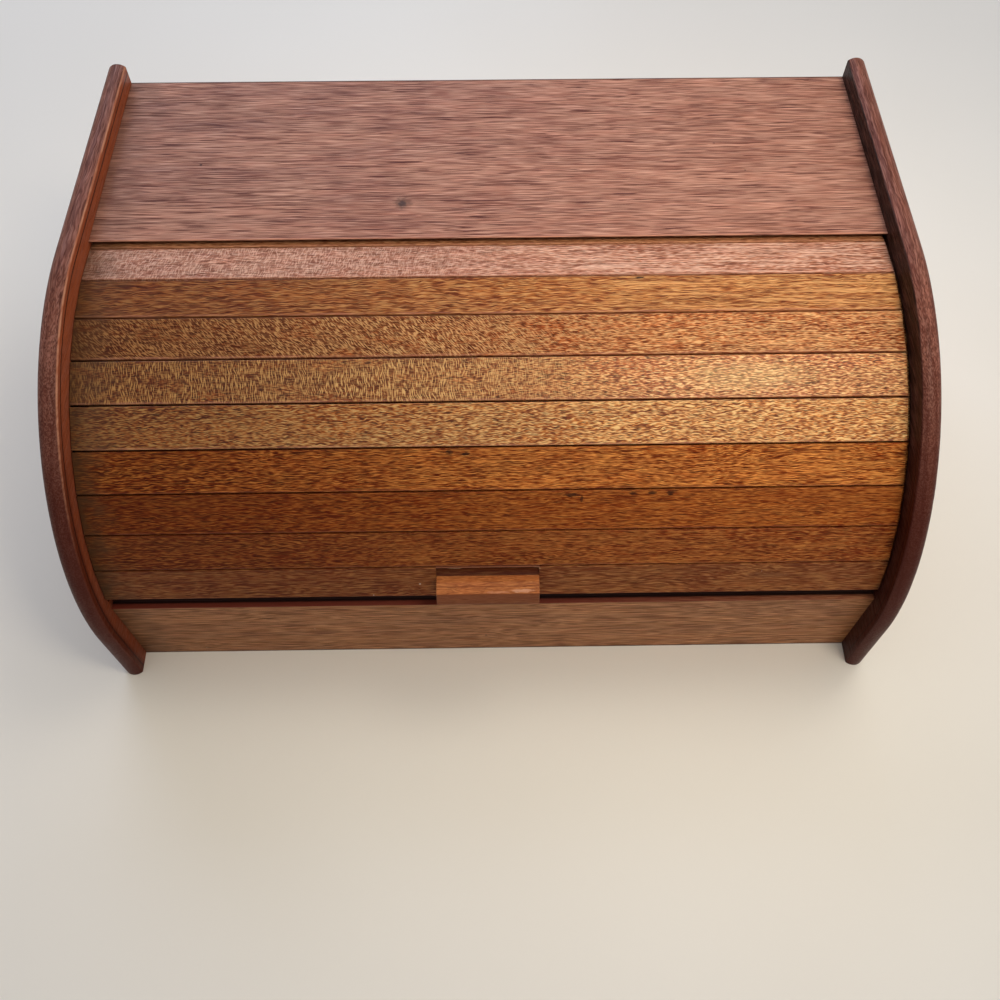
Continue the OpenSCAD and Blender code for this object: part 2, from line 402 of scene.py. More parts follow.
@dataclass(frozen=True)
class Band(Layer):
    """A straight-edged darker or paler place on a board, between two corners."""

    low: Point
    high: Point
    colour: Colour
    strength: float = 0.7
    soft: float = 0.25

    def lay(self, face: Face, wood: "Wood") -> None:
        """Lays the place with slightly soft edges."""
        wide, tall = (
            way.spread(low - self.soft, low + self.soft) - way.spread(high - self.soft, high + self.soft)
            for way, low, high in zip((face.x, face.y), self.low, self.high)
        )
        face.lay(wide * tall * self.strength, self.colour)


@dataclass(frozen=True)
class Edge(Layer):
    """Pale long edges, partly wear and partly painted highlight, darker ends and an optional painted shadow along the
    upper edge, for a slat or rail.
    """

    half: float
    middle: float = 0.0
    wear_and_highlight: float = 0.4
    end_dark: float = 0.6
    end: float = 199.0
    far: float = 18.0
    back: float = 0.0
    rub_and_highlight: Colour = tone(196, 134, 108)
    shadow: Colour = tone(58, 26, 20)
    end_tone: Colour = tone(40, 24, 14)
    haze: Colour = tone(84, 58, 36)

    def lay(self, face: Face, wood: "Wood") -> None:
        """Rubs the long edges pale, partly as painted highlight, paints a shadow along the upper edge where asked,
        and darkens the ends.
        """
        chips = face.noise((14.0, 1.2, 1.2), 11, 2.0).spread(0.36, 0.6)
        up = face.y - self.middle
        upper = up.spread(self.half - 0.7, self.half - 0.1) * 0.4
        lower = (self.middle - face.y).spread(self.half - 1.3, self.half - 0.5)
        # pale rub on the long edges: partly wear, partly painted highlight where the rounded edges catch light
        face.lay((upper + lower) * (0.25 + chips * 0.75) * self.wear_and_highlight, self.rub_and_highlight)
        # painted shadow along the upper edge
        if self.back > 0:
            face.lay(up.spread(self.half - 1.4, self.half - 0.7) * self.back, self.shadow)
        # darker near both ends, where the boards meet the cheeks
        smoke = (face.noise((9.0, 6.0, 6.0), 12, 2.0) - 0.5) * 22.0
        reach = face.x + smoke
        near = reach.spread(8.0 - self.end, -4.0 - self.end) + reach.spread(self.end - 4.0, self.end + 6.0)
        face.lay(near * self.end_dark, self.end_tone)
        haze = (face.x + smoke * 1.4).spread(self.far + 10.0 - self.end, self.far - 12.0 - self.end)
        face.lay(haze * (0.75 * self.end_dark), self.haze)


@dataclass(frozen=True)
class Rim(Layer):
    """A cheek's rim: dark end grain at the front, a thin dark line inside it, a pale arris that is partly wear and
    partly painted highlight, and painted light on the left inner face and painted shade on the right.
    """

    centre: Point
    reach: float
    inner: float
    wear_and_highlight: float
    painted_light_share: float
    face: Colour
    inset: float = 5.2
    width: float = 0.62
    end_grain: float = 0.85
    arris: float = 1.9
    rub_and_highlight: Colour = tone(206, 150, 120)
    thin_line: Colour = tone(40, 14, 8)

    def lay(self, face: Face, wood: "Wood") -> None:
        """Darkens the end grain, paints light on the left inner face and shade on the right one, draws the thin line
        and rubs the inner arris pale, partly as painted highlight.
        """
        ahead = (face.x - self.centre[0]).math("MINIMUM", 0.0)
        above = (face.z - self.centre[1]).math("MAXIMUM", 0.0)
        reach = (ahead * ahead + above * above).math("SQRT")
        slope = abs(ahead) / (reach + 1.0)
        inset = self.reach - reach
        depth = abs(face.y)
        ends = slope.spread(0.3, 0.95) * (1.0 - 0.5 * inset.spread(5.0, 9.0))
        inside = 1.0 - depth.spread(self.inner + 0.2, self.inner + 0.7)
        line = 1.0 - abs(inset - self.inset).spread(0.4 * self.width, self.width)
        chips = face.noise((12.0, 2.0, 2.0), 13, 2.0).spread(0.36, 0.62)
        worn = (1.0 - slope.spread(0.5, 0.95)) * (1.0 - abs(inset - self.arris).spread(0.25, 0.8))
        worn = worn * (1.0 - depth.spread(self.inner + 0.5, self.inner + 1.1))
        # painted light on the left cheek's inner face, painted shade on the right one
        face.lay(inside * (self.painted_light_share - 0.25 * chips), self.face)
        face.lay(ends * self.end_grain, wood.deep)
        face.lay(line * inside * 0.9, self.thin_line)
        # pale arris rub: partly wear, partly painted highlight on the lit left cheek
        face.lay(worn * (0.3 + 0.7 * chips) * self.wear_and_highlight, self.rub_and_highlight)


@dataclass(frozen=True)
class RebateShade(Layer):
    """Painted shade in the rail's rebate under the lead slat, darker towards the left, and a painted contact shadow
    along the edge where the rail stands on the table.
    """

    depth: float = 2.3
    low: float = 59.9
    sole: float = 1.7
    band_shade: Colour = tone(104, 40, 28)
    # near-black painted shade deep in the rebate
    gap: Colour = tone(34, 14, 10)
    foot_shadow: Colour = tone(58, 32, 16)

    def lay(self, face: Face, wood: "Wood") -> None:
        """Paints shade into the rebate and a contact shadow along the edge that the rail stands on."""
        top = face.y.spread(self.low, self.low + 0.4)
        behind = (0.0 - face.z).spread(self.depth, self.depth + 0.8)
        # painted shade on the rebate's floor, darker towards the left
        face.lay(top * (0.95 - 0.45 * face.x.spread(20.0, 200.0)), self.band_shade)
        # painted shade, near black, deep in the rebate behind the step
        face.lay(top * behind * 0.97, self.gap)
        # painted contact shadow along the rail's foot
        face.lay((1.0 - face.y.spread(0.7, self.sole)) * 0.85, self.foot_shadow)


DRIFT_CELL = (70.0, 26.0, 26.0)
RIPPLE_CELL = (6.5, 3.5, 3.5)
STRIPE_CELL = (160.0, 6.0, 6.0)
CLOUD_CELL = (46.0, 20.0, 20.0)
PATCH_CELL = (15.0, 5.0, 5.0)
DASH_CELL = 0.4
PITH = 21.0
TURN = 6.283
DUST_CELL = 17.0
DUST_R = 0.42
REDDISH = (1.0, 0.74, 0.7, 1.0)
# tone of the painted shade that darkens boards towards their left end
PAINTED_FALLOFF_TONE = (0.34, 0.24, 0.14, 1.0)
DUST = tone(222, 214, 200)


@dataclass(frozen=True)
class Wood:
    """A timber with its tones, grain and polish."""

    name: str
    body: Colour
    deep: Colour
    pale: Colour
    pore: Colour
    seed: float
    line: float = 0.5
    run: float = 6.5
    wander: float = 2.5
    wave: float = 1.6
    streak: float = 0.75
    pores: float = 0.7
    dash: float = 7.0
    rings: float = 0.0
    gloss: float = 0.4
    relief: float = 0.05
    shine: float = 0.22
    blush: float = 0.22
    dust: float = 0.0
    # share of painted shade towards the left end, standing in for light that falls off from right to left
    dusk: float = 0.0
    flecks: tuple[Fleck, ...] = ()
    layers: tuple[Layer, ...] = ()

    def material(self, place: Placement) -> bpy.types.Material:
        """Builds the timber's material for a board.

        Args:
            place: How the board lies.

        Returns:
            The material.
        """
        face = Face(self.name, place, self.seed, self.body)
        drift = (face.noise(DRIFT_CELL, 0.0) - 0.5) * (2.0 * self.wander)
        ripple = (face.noise(RIPPLE_CELL, 0.4) - 0.5) * self.wave
        across = face.y + drift + ripple
        through = face.z + drift
        grain = face.shader.join(face.x, across, through)
        stripe = face.noise(STRIPE_CELL, 1, 2.0, spot=grain).spread(0.34, 0.66)
        cloud = face.noise(CLOUD_CELL, 2, 2.0).spread(0.32, 0.68)
        coarse = face.noise((self.run, self.line, self.line), 3, 1.0, 0.6, grain)
        fine = face.noise((self.run * 0.5, self.line * 0.6, self.line * 0.6), 4, 0.0, spot=grain)
        lines = coarse * 0.5 + fine * 0.5
        light = lines.spread(0.5, 0.6)
        dark = lines.spread(0.5, 0.4)
        dashes = face.noise((self.dash, DASH_CELL, DASH_CELL), 5, spot=grain).spread(0.56, 0.63)
        face.lay(stripe * 0.35, self.deep)
        face.lay(cloud * 0.2, self.pale)
        face.lay(light * self.streak, self.pale)
        face.lay(dark * self.streak, self.deep)
        if self.rings > 0:
            off, side = across + PITH, through * 0.35
            bands = (off * off + side * side).math("SQRT") * (TURN / self.rings) + lines * 2.4
            face.lay(bands.math("SINE").spread(0.1, 0.95) * 0.32, self.deep)
        face.lay(dashes * self.pores, self.pore)
        face.height = 0.5 + light * 0.35 - dark * 0.3 - dashes * 0.4
        rough = self.gloss + dashes * 0.2 + dark * 0.06 - light * 0.05 + cloud * 0.08
        for fleck in self.flecks:
            fleck.lay(face, self)
        face.lay(face.noise(PATCH_CELL, 6, 2.0).spread(0.46, 0.64) * self.blush, REDDISH, "MULTIPLY")
        # painted shade: darker towards the left end, as the light falls off from right to left
        if self.dusk > 0:
            face.lay(face.x.spread(120.0, -200.0) * self.dusk, PAINTED_FALLOFF_TONE, "MULTIPLY")
        for layer in self.layers:
            layer.lay(face, self)
        if self.dust > 0:
            face.lay(face.shader.specks(face.spot, DUST_CELL, DUST_R, self.seed) * self.dust, DUST)
        face.shader.surface.inputs["Specular IOR Level"].default_value = self.shine
        return face.material(rough, self.relief)


@dataclass(frozen=True)
class Canvas:
    """Woven cotton canvas, unbleached."""

    name: str = "backing_canvas"
    thread: float = 0.62
    light: Colour = tone(196, 182, 150)
    dark: Colour = tone(134, 118, 88)
    slub: Colour = tone(214, 202, 172)
    age: Colour = tone(150, 126, 88)

    def material(self) -> bpy.types.Material:
        """Builds the weave on the sheet's own UV map, whose unit is a millimetre."""
        shader = Shader(self.name)
        spot = Signal(shader, shader.node("ShaderNodeUVMap", {"uv_map": "weave"}).outputs[0])
        u, v, _ = shader.split(spot)
        across, along = u / self.thread, v / self.thread
        warp, weft = (abs((way * math.pi).math("SINE")) for way in (across, along))
        turn = (across.math("FLOOR") + along.math("FLOOR")).math("PINGPONG", 1.0)
        over = warp * turn + weft * (1.0 - turn)
        slub = shader.noise(spot, (9.0, 0.8, 1.0), 4.0).spread(0.5, 0.75)
        thin = shader.noise(spot, (0.8, 9.0, 1.0), 5.0).spread(0.55, 0.75)
        worn = shader.noise(spot, (30.0, 24.0, 1.0), 6.0, 3.0).spread(0.35, 0.7)
        colour = shader.blend(over, self.dark, self.light)
        colour = shader.blend(slub * 0.5, colour, self.slub)
        colour = shader.blend(thin * 0.35, colour, self.dark)
        colour = shader.blend(worn * 0.4, colour, self.age)
        shader.surface.inputs["Sheen Weight"].default_value = 0.25
        return shader.dress(colour, 0.86 - worn * 0.1, over, 0.09)


@dataclass(frozen=True)
class Metal:
    """Plain metal with fine scratches and some tarnish."""

    name: str
    clean: Colour
    dull: Colour
    gloss: float = 0.32

    def material(self) -> bpy.types.Material:
        """Builds the metal's material."""
        face = Face(self.name, Placement(), 0.0, self.clean)
        tarnish = face.noise((1.4, 1.4, 1.4), 3.0, 3.0).spread(0.42, 0.66)
        face.height = face.noise((2.0, 0.12, 0.12), 5.0, 2.0)
        face.lay(tarnish * 0.8, self.dull)
        return face.material(self.gloss + tarnish * 0.25 + face.height * 0.1, 0.01, 0.9)


@dataclass(frozen=True)
class Plywood:
    """Thin three-ply board, laid flat or upright."""

    wood: Wood
    middle: float
    thick: float
    upright: bool

    def material(self) -> bpy.types.Material:
        """Builds the face grain, and darker cross plies that show on the edges."""
        wood = self.wood
        face = Face(wood.name, Placement(), wood.seed, wood.body)
        side, depth = (face.z, face.y) if self.upright else (face.y, face.z)
        ply = self.thick / 6
        core = 1.0 - abs(depth - self.middle).spread(ply - 0.05, ply + 0.05)
        waved = side + (face.noise((120.0, 40.0, 40.0), 0.0) - 0.5) * 26.0
        grain = face.shader.join(face.x, waved, depth)
        bands = (waved * 0.55 + face.noise((260.0, 16.0, 50.0), 1, spot=grain) * 9.0).math("SINE")
        lines = face.noise((26.0, 0.9, 3.0), 2, 2.0, spot=grain).spread(0.36, 0.64)
        pores = face.noise((5.0, 0.4, 0.4), 3, spot=grain).spread(0.58, 0.7)
        cloud = face.noise((60.0, 60.0, 60.0), 4, 3.0).spread(0.3, 0.7)
        face.lay(bands.spread(-0.4, 1.0) * 0.55, wood.deep)
        face.lay(lines * 0.4, wood.pale)
        face.lay(pores * wood.pores, wood.pore)
        face.lay(cloud * 0.25, wood.deep)
        face.lay(core * 0.75, wood.pore)
        face.height = lines * 0.6 - pores * 0.4 + 0.4
        return face.material(wood.gloss + cloud * 0.1, wood.relief)


# --------------------------------------------------------------------- shapes


def vertices(geometry: Sequence[Any]) -> list[bmesh.types.BMVert]:
    """Picks the vertices out of an operator's result."""
    return [part for part in geometry if isinstance(part, bmesh.types.BMVert)]


class Form:
    """A shape in millimetres that grows by bmesh operators."""

    def __init__(self) -> None:
        """Starts empty."""
        self.bm = bmesh.new()
        self.start: Optional[bmesh.types.BMVert] = None
        self.tip: Optional[bmesh.types.BMVert] = None

    def pen(self, x: float, y: float, z: float) -> "Form":
        """Sets the pen on the first point of an outline."""
        self.start = self.tip = self.bm.verts.new((x, y, z))
        return self

    def line(self, y: float, z: float) -> "Form":
        """Draws a straight edge to a point of the outline's plane."""
        self.tip = bmesh.ops.extrude_vert_indiv(self.bm, verts=[self.tip])["verts"][0]
        self.tip.co = (self.start.co.x, y, z)
        return self

    def lines(self, *points: Point) -> "Form":
        """Draws straight edges through points of the outline's plane."""
        for point in points:
            self.line(*point)
        return self

    def spin(self, geometry: Sequence[Any], centre: Triple, degrees: float, steps: int) -> Sequence[Any]:
        """Turns geometry about an axis along X.

        Args:
            geometry: What is turned.
            centre: A point of the axis.
            degrees: Turn about +X.
            steps: Number of chords.

        Returns:
            The geometry at the end of the turn.
        """
        made = bmesh.ops.spin(
            self.bm, geom=geometry, cent=centre, axis=(1.0, 0.0, 0.0), dvec=(0.0, 0.0, 0.0),
            angle=math.radians(degrees), steps=steps, use_merge=False, use_normal_flip=False, use_duplicate=False,
        )
        return made["geom_last"]

    def arc(self, centre: Point, degrees: float, steps: int) -> "Form":
        """Draws an arc about a point of the outline's plane."""
        self.tip = vertices(self.spin([self.tip], (self.start.co.x, *centre), degrees, steps))[0]
        return self

    def join(self) -> "Form":
        """Draws the last edge, back to the outline's first point."""
        bmesh.ops.contextual_create(self.bm, geom=[self.tip, self.start])
        return self

    def close(self) -> "Form":
        """Closes the outline and fills it with one face."""
        self.join()
        bmesh.ops.contextual_create(self.bm, geom=self.bm.edges[:])
        return self

    def outward(self) -> "Form":
        """Turns every face outward."""
        bmesh.ops.recalc_face_normals(self.bm, faces=self.bm.faces[:])
        return self

    def loft(self, outlines: Sequence[Sequence[bmesh.types.BMEdge]]) -> "Form":
        """Spans walls between outlines of equally many edges, and caps the first and the last."""
        for near, far in zip(outlines, outlines[1:]):
            bmesh.ops.bridge_loops(self.bm, edges=[*near, *far])
        for ring in (outlines[0], outlines[-1]):
            bmesh.ops.contextual_create(self.bm, geom=list(ring))
        return self.outward()

    def pull(self, faces: Sequence[bmesh.types.BMFace], vector: Triple) -> "Form":
        """Pulls faces along a vector, with walls behind them."""
        made = bmesh.ops.extrude_face_region(self.bm, geom=list(faces))
        bmesh.ops.translate(self.bm, verts=vertices(made["geom"]), vec=vector)
        return self

    def extrude(self, length: float) -> "Form":
        """Pulls every face there is along X, into a closed solid."""
        return self.pull(self.bm.faces[:], (length, 0.0, 0.0)).outward()

    def block(self, low: Triple, high: Triple) -> "Form":
        """Adds a box between two corners."""
        size = Vector(high) - Vector(low)
        middle = (Vector(high) + Vector(low)) / 2
        matrix = Matrix.Translation(middle) @ Matrix.Diagonal((*size, 1.0))
        bmesh.ops.create_cube(self.bm, size=1.0, matrix=matrix)
        return self

    def rod(self, centre: Triple, radius: float, length: float, axis: str = "X", tip: float = 0.0) -> "Form":
        """Adds a round bar or cone.

        Args:
            centre: Middle of the bar.
            radius: Radius at its low end.
            length: Length along the axis.
            axis: X or Z.
            tip: Radius at its high end, or 0 for the same radius.

        Returns:
            The form itself.
        """
        turn = Matrix.Rotation(math.radians(90), 4, "Y") if axis == "X" else Matrix.Identity(4)
        bmesh.ops.create_cone(
            self.bm, cap_ends=True, cap_tris=False, segments=ROUND_STEPS, radius1=radius, radius2=tip or radius,
            depth=length, matrix=Matrix.Translation(centre) @ turn,
        )
        return self

    def sweep(self, centre: Point, degrees: float, steps: int) -> "Form":
        """Turns every face there is about an axis along X, into a closed solid."""
        self.spin(self.bm.verts[:] + self.bm.edges[:] + self.bm.faces[:], (0.0, *centre), degrees, steps)
        bmesh.ops.remove_doubles(self.bm, verts=self.bm.verts[:], dist=WELD)
        return self.outward()

    def round_off(self, choose: Callable[[bmesh.types.BMEdge], bool], width: float, segments: int) -> "Form":
        """Rounds the chosen edges.

        Args:
            choose: Says which edges are rounded.
            width: Width of the rounding.
            segments: Number of strips in it.

        Returns:
            The form itself.
        """
        edges = [e for e in self.bm.edges if len(e.link_faces) == 2 and choose(e)]
        bmesh.ops.bevel(
            self.bm, geom=edges, offset=width, offset_type="OFFSET", affect="EDGES", segments=segments,
            profile=0.5, material=-1, clamp_overlap=True,
        )
        return self

    def sharp(self, degrees: float) -> Callable[[bmesh.types.BMEdge], bool]:
        """Chooses the edges whose faces meet at more than an angle."""
        return lambda e: e.calc_face_angle(0.0) > math.radians(degrees)

    def mesh(self, name: str, place: Optional[Matrix] = None) -> bpy.types.Mesh:
        """Turns the form into a mesh in metres.

        Args:
            name: The mesh's name.
            place: Where the form goes, in millimetres.

        Returns:
            The mesh.
        """
        self.bm.transform(Matrix.Scale(MM, 4) @ (place or Matrix.Identity(4)))
        mesh = bpy.data.meshes.new(name)
        self.bm.to_mesh(mesh)
        self.bm.free()
        return mesh


def new_object(name: str, mesh: bpy.types.Mesh) -> bpy.types.Object:
    """Puts a mesh into the scene as an object at the origin."""
    thing = bpy.data.objects.new(name, mesh)
    bpy.context.scene.collection.objects.link(thing)
    return thing


def carve(body: bpy.types.Object, tools: Sequence[Form]) -> None:
    """Cuts tool shapes out of a body.

    Args:
        body: The object that is cut.
        tools: The shapes to take away, in millimetres.
    """
    cutters = [new_object(f"{body.name}_tool_{i}", tool.mesh("tool")) for i, tool in enumerate(tools)]
    for cutter in cutters:
        cut = body.modifiers.new("cut", "BOOLEAN")
        cut.operation = "DIFFERENCE"
        cut.solver = "EXACT"
        cut.object = cutter
    bpy.context.view_layer.update()
    graph = bpy.context.evaluated_depsgraph_get()
    mesh = bpy.data.meshes.new_from_object(body.evaluated_get(graph))
    body.modifiers.clear()
    body.data = mesh
    for cutter in cutters:
        bpy.data.objects.remove(cutter)


def fasten(piece: bpy.types.Object, body: str, node: str, slot: str, material: bpy.types.Material) -> None:
    """Gives a piece its finish and sets it in place of its CAD node.

    Args:
        piece: The finished object.
        body: The CAD body that it rides on.
        node: The CAD node that it stands for.
        slot: The record's material slot; not used.
        material: Its finish.
    """
    piece.data.materials.clear()
    piece.data.materials.append(material)
    for face in piece.data.polygons:
        face.use_smooth = True
    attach(piece, body)
    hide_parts(node)
    log.info("piece %s: %d faces, %s", piece.name, len(piece.data.polygons), material.name)


def install(
    name: str, body: str, slot: str, mesh: bpy.types.Mesh, material: bpy.types.Material, tools: Sequence[Form] = ()
) -> None:
    """Makes a hard piece in place of the CAD node of its name, shaded evenly between its crisp edges.

    Args:
        name: The name of the piece and of its node.
        body: The CAD body that it rides on.
        slot: The record's material slot.
        mesh: Its shape.
        material: Its finish.
        tools: Shapes that are cut out of it.
    """
    piece = new_object(name, mesh)
    if tools:
        carve(piece, tools)
    fasten(piece, body, name, slot, material)
    piece.data.set_sharp_from_angle(angle=math.radians(CRISP))
    even = piece.modifiers.new("even_shading", "WEIGHTED_NORMAL")
    even.keep_sharp = True


# -------------------------------------------------------------------- the box


@dataclass(frozen=True)
class Circle:
    """The circle that the curtain turns on, and the slats' angles on it."""

    axis_y: float = 3.0
    axis_h: float = 42.5
    curtain_r: float = 133.5
    lead: float = 77.8
    tail: float = 24.5
    slats: int = 11
    slat_t: float = 5.5
    gap: float = 0.1

    @property
    def axis(self) -> Point:
        """The circle's centre, y and z."""
        return (self.axis_y, self.axis_h)

    @property
    def step(self) -> float:
        """Angle from one slat to the next."""
        return (self.lead + self.tail) / self.slats

    @property
    def face_r(self) -> float:
        """Distance of the slats' faces from the centre."""
        return self.curtain_r * math.cos(math.radians(self.step / 2))

    @property
    def inner_r(self) -> float:
        """Distance of the slats' inner faces from the centre."""
        return self.face_r - self.slat_t

    @property
    def slat_w(self) -> float:
        """Width of a slat."""
        return 2 * self.inner_r * math.tan(math.radians(self.step / 2)) - self.gap

    def middle(self, number: int) -> float:
        """Angle of a slat's middle forward of the crown."""
        return self.lead - (number - 0.5) * self.step

    def matrix(self, number: int) -> Matrix:
        """Moves a slat drawn at the crown to its place."""
        turn = Matrix.Rotation(math.radians(self.middle(number)), 4, "X")
        return Matrix.Translation((0.0, *self.axis)) @ turn

    def placement(self, number: int) -> Placement:
        """The board coordinates of a slat."""
        return Placement((0.0, *self.axis), self.middle(number))


@dataclass(frozen=True)
class Housing:
    """The groove that takes the bottom panel's edges."""

    low: float = 2.9
    high: float = 9.1
    depth: float = 3.5
    front_y: float = -121.0
    back_lip: float = 3.0


class Side(Enum):
    """The two ends of the box."""

    LEFT = -1
    RIGHT = 1


@dataclass
class Cheek:
    """An end board with a rounded edge, a crisp inner arris and the curtain's groove."""

    side: Side
    circle: Circle
    inner_x: float = 200.0
    thick: float = 10.4
    back_y: float = 141.0
    height: float = 190.0
    corner_r: float = 143.5
    corner_steps: int = 72
    nose_r: float = 6.032
    nose_steps: int = 13
    ease: float = 0.3
    groove_depth: float = 5.0
    groove_r: Point = (127.26, 131.27)
    groove_from: float = -103.5
    groove_to: float = 79.8
    groove_steps: int = 110
    sliver: float = 0.01
    back_t: float = 3.5
    back_depth: float = 5.0
    back_top: float = 169.0
    past: float = 1.0

    @property
    def centre(self) -> Point:
        """Centre of the rounded front corner, y and z."""
        return (self.corner_r - self.back_y, self.height - self.corner_r)

    def build(self) -> None:
        """Builds the cheek and its grooves."""
        name = f"{self.side.name.lower()}_cheek"
        form = Form()
        middle = self.thick - self.nose_r
        arris = math.acos(-middle / self.nose_r)
        rings = []
        for step in range(self.nose_steps + 1):
            turn = arris * step / self.nose_steps
            inset = self.nose_r * (1.0 - math.sin(turn))
            rings.append(self.outline(form, middle + self.nose_r * math.cos(turn), inset))
        form.loft(rings).round_off(form.sharp(30.0), self.ease, 2)
        material = self.finish().material(Placement(grain=Grain.FRONT_TO_BACK))
        install(name, "case", "cheek_wood", form.mesh(name), material, self.tools())

    def outline(self, form: Form, depth: float, inset: float) -> list[bmesh.types.BMEdge]:
        """Draws the cheek's outline at one depth in its thickness.

        Args:
            form: The form that the outline is drawn in.
            depth: Distance from the inner face.
            inset: How far the rounded edge lies behind its crown there.

        Returns:
            The outline's edges.
        """
        known = set(form.bm.edges)
        front = inset - self.back_y
        form.pen(self.side.value * (self.inner_x + depth), self.back_y, 0.0)
        form.lines((front, 0.0), (front, self.centre[1])).arc(self.centre, -90.0, self.corner_steps)
        form.line(self.back_y, self.height - inset).join()
        return [edge for edge in form.bm.edges if edge not in known]

    def pocket(self, depth: float, low: Point, high: Point) -> Form:
        """A box-shaped cut into the inner face, between two corners of the outline's plane."""
        x0, x1 = sorted(self.side.value * (self.inner_x + x) for x in (-self.past, depth))
        return Form().block((x0, *low), (x1, *high))

    def tools(self) -> list[Form]:
        """The shapes that the curtain, the back and the bottom take out of the inner face."""
        y, z = self.circle.axis
        near, far = (z + r for r in self.groove_r)
        groove = self.pocket(self.groove_depth, (y - self.sliver, near), (y + self.sliver, far))
        spare = [f for f in groove.bm.faces if f.calc_center_median().y <= y]
        bmesh.ops.delete(groove.bm, geom=spare, context="FACES")
        turn = Matrix.Rotation(math.radians(self.groove_from), 4, "X")
        pivot = Matrix.Translation((0.0, -y, -z))
        bmesh.ops.transform(groove.bm, matrix=turn, space=pivot, verts=groove.bm.verts[:])
        groove.sweep((y, z), self.groove_to - self.groove_from, self.groove_steps)
        low, high = (self.back_y - self.back_t, -self.past), (self.back_y + self.past, self.back_top)
        h = Housing()
        return [
            groove,
            self.pocket(self.back_depth, low, high),
            self.pocket(h.depth, (h.front_y, h.low), (self.back_y - h.back_lip, h.high)),
        ]

    def finish(self) -> Wood:
        """Dark red-brown hardwood with arched end grain, a thin dark line inside its edge, and its inner face painted
        light on the left cheek and painted shade on the right.
        """
        left = self.side is Side.LEFT
        # inner face: painted light on the left cheek, near-black painted shade on the right; the pale arris on the
        # left only
        rim = Rim(
            self.centre, self.corner_r, self.inner_x, 0.6 if left else 0.0, 0.75 if left else 0.95,
            tone(164, 82, 46) if left else tone(24, 7, 3),
        )
        return Wood(
            f"cheek_{self.side.name.lower()}_oiled",
            tone(124, 76, 62), tone(64, 17, 6), tone(160, 112, 100), tone(46, 18, 10), 2.0 if left else 5.5,
            line=0.9, run=24.0, wander=3.2, streak=0.4, pores=0.5, dash=11.0, rings=4.6, shine=0.12, layers=(rim,),
        )


@dataclass
class TopBoard:
    """The flat top with a coved underside behind its front lip."""

    circle: Circle
    half: float = 200.0
    front_y: float = 19.0
    back_y: float = 141.0
    low: float = 169.0
    high: float = 178.0
    cove_r: float = 134.3
    cove_steps: int = 16
    edge: float = 0.5
    ease: float = 0.3

    def undercut(self) -> Point:
        """Where the sloping undercut behind the front edge meets the cove."""
        out, up = self.front_y - self.circle.axis_y, self.high - self.edge - self.circle.axis_h
        run = (up - out - math.sqrt((up - out) ** 2 - 2 * (out**2 + up**2 - self.cove_r**2))) / 2
        return (self.front_y + run, self.high - self.edge - run)

    def build(self) -> None:
        """Builds the board."""
        y, z = self.circle.axis
        reach = math.sqrt(self.cove_r**2 - (self.low - z) ** 2)
        meet = self.undercut()
        sweep = math.degrees(math.asin(reach / self.cove_r) - math.asin((meet[0] - y) / self.cove_r))
        form = Form().pen(-self.half, self.front_y, self.high)
        form.lines((self.back_y, self.high), (self.back_y, self.low), (y + reach, self.low))
        form.arc((y, z), sweep, self.cove_steps)
        form.tip.co = (-self.half, *meet)
        form.line(self.front_y, self.high - self.edge).close().extrude(2 * self.half)
        form.round_off(form.sharp(60.0), self.ease, 3)
        material = self.finish().material(Placement((0.0, self.front_y, self.high)))
        install("top_board", "case", "top_wood", form.mesh("top_board"), material)

    def finish(self) -> Wood:
        """Pinkish brown board with straight, fine grain."""
        knots = (
            Mark(-44.2, 24.8, 6.6, 6.4, tone(96, 64, 48), 0.75),
            Mark(-44.4, 24.2, 3.0, 3.2, tone(62, 38, 30), 0.9),
            Mark(-151.6, 54.4, 1.2, 1.4, tone(52, 28, 24), 0.9),
            Mark(134.5, 46.6, 1.0, 0.9, tone(60, 32, 24), 0.8),
            Mark(120.7, 67.7, 1.0, 0.8, tone(60, 32, 24), 0.8),
        )
        return Wood(
            "top_board_oiled",
            tone(156, 101, 79), tone(76, 27, 15), tone(229, 178, 155), tone(80, 34, 28), 11.0,
            line=0.36, run=24.0, wander=0.8, wave=0.3, streak=0.46, pores=1.0, dash=22.0, gloss=0.42, dusk=0.12,
            layers=(*knots, Edge(half=61.0, middle=61.0, wear_and_highlight=0.8, end_dark=0.3, end=200.0, back=0.8)),
        )


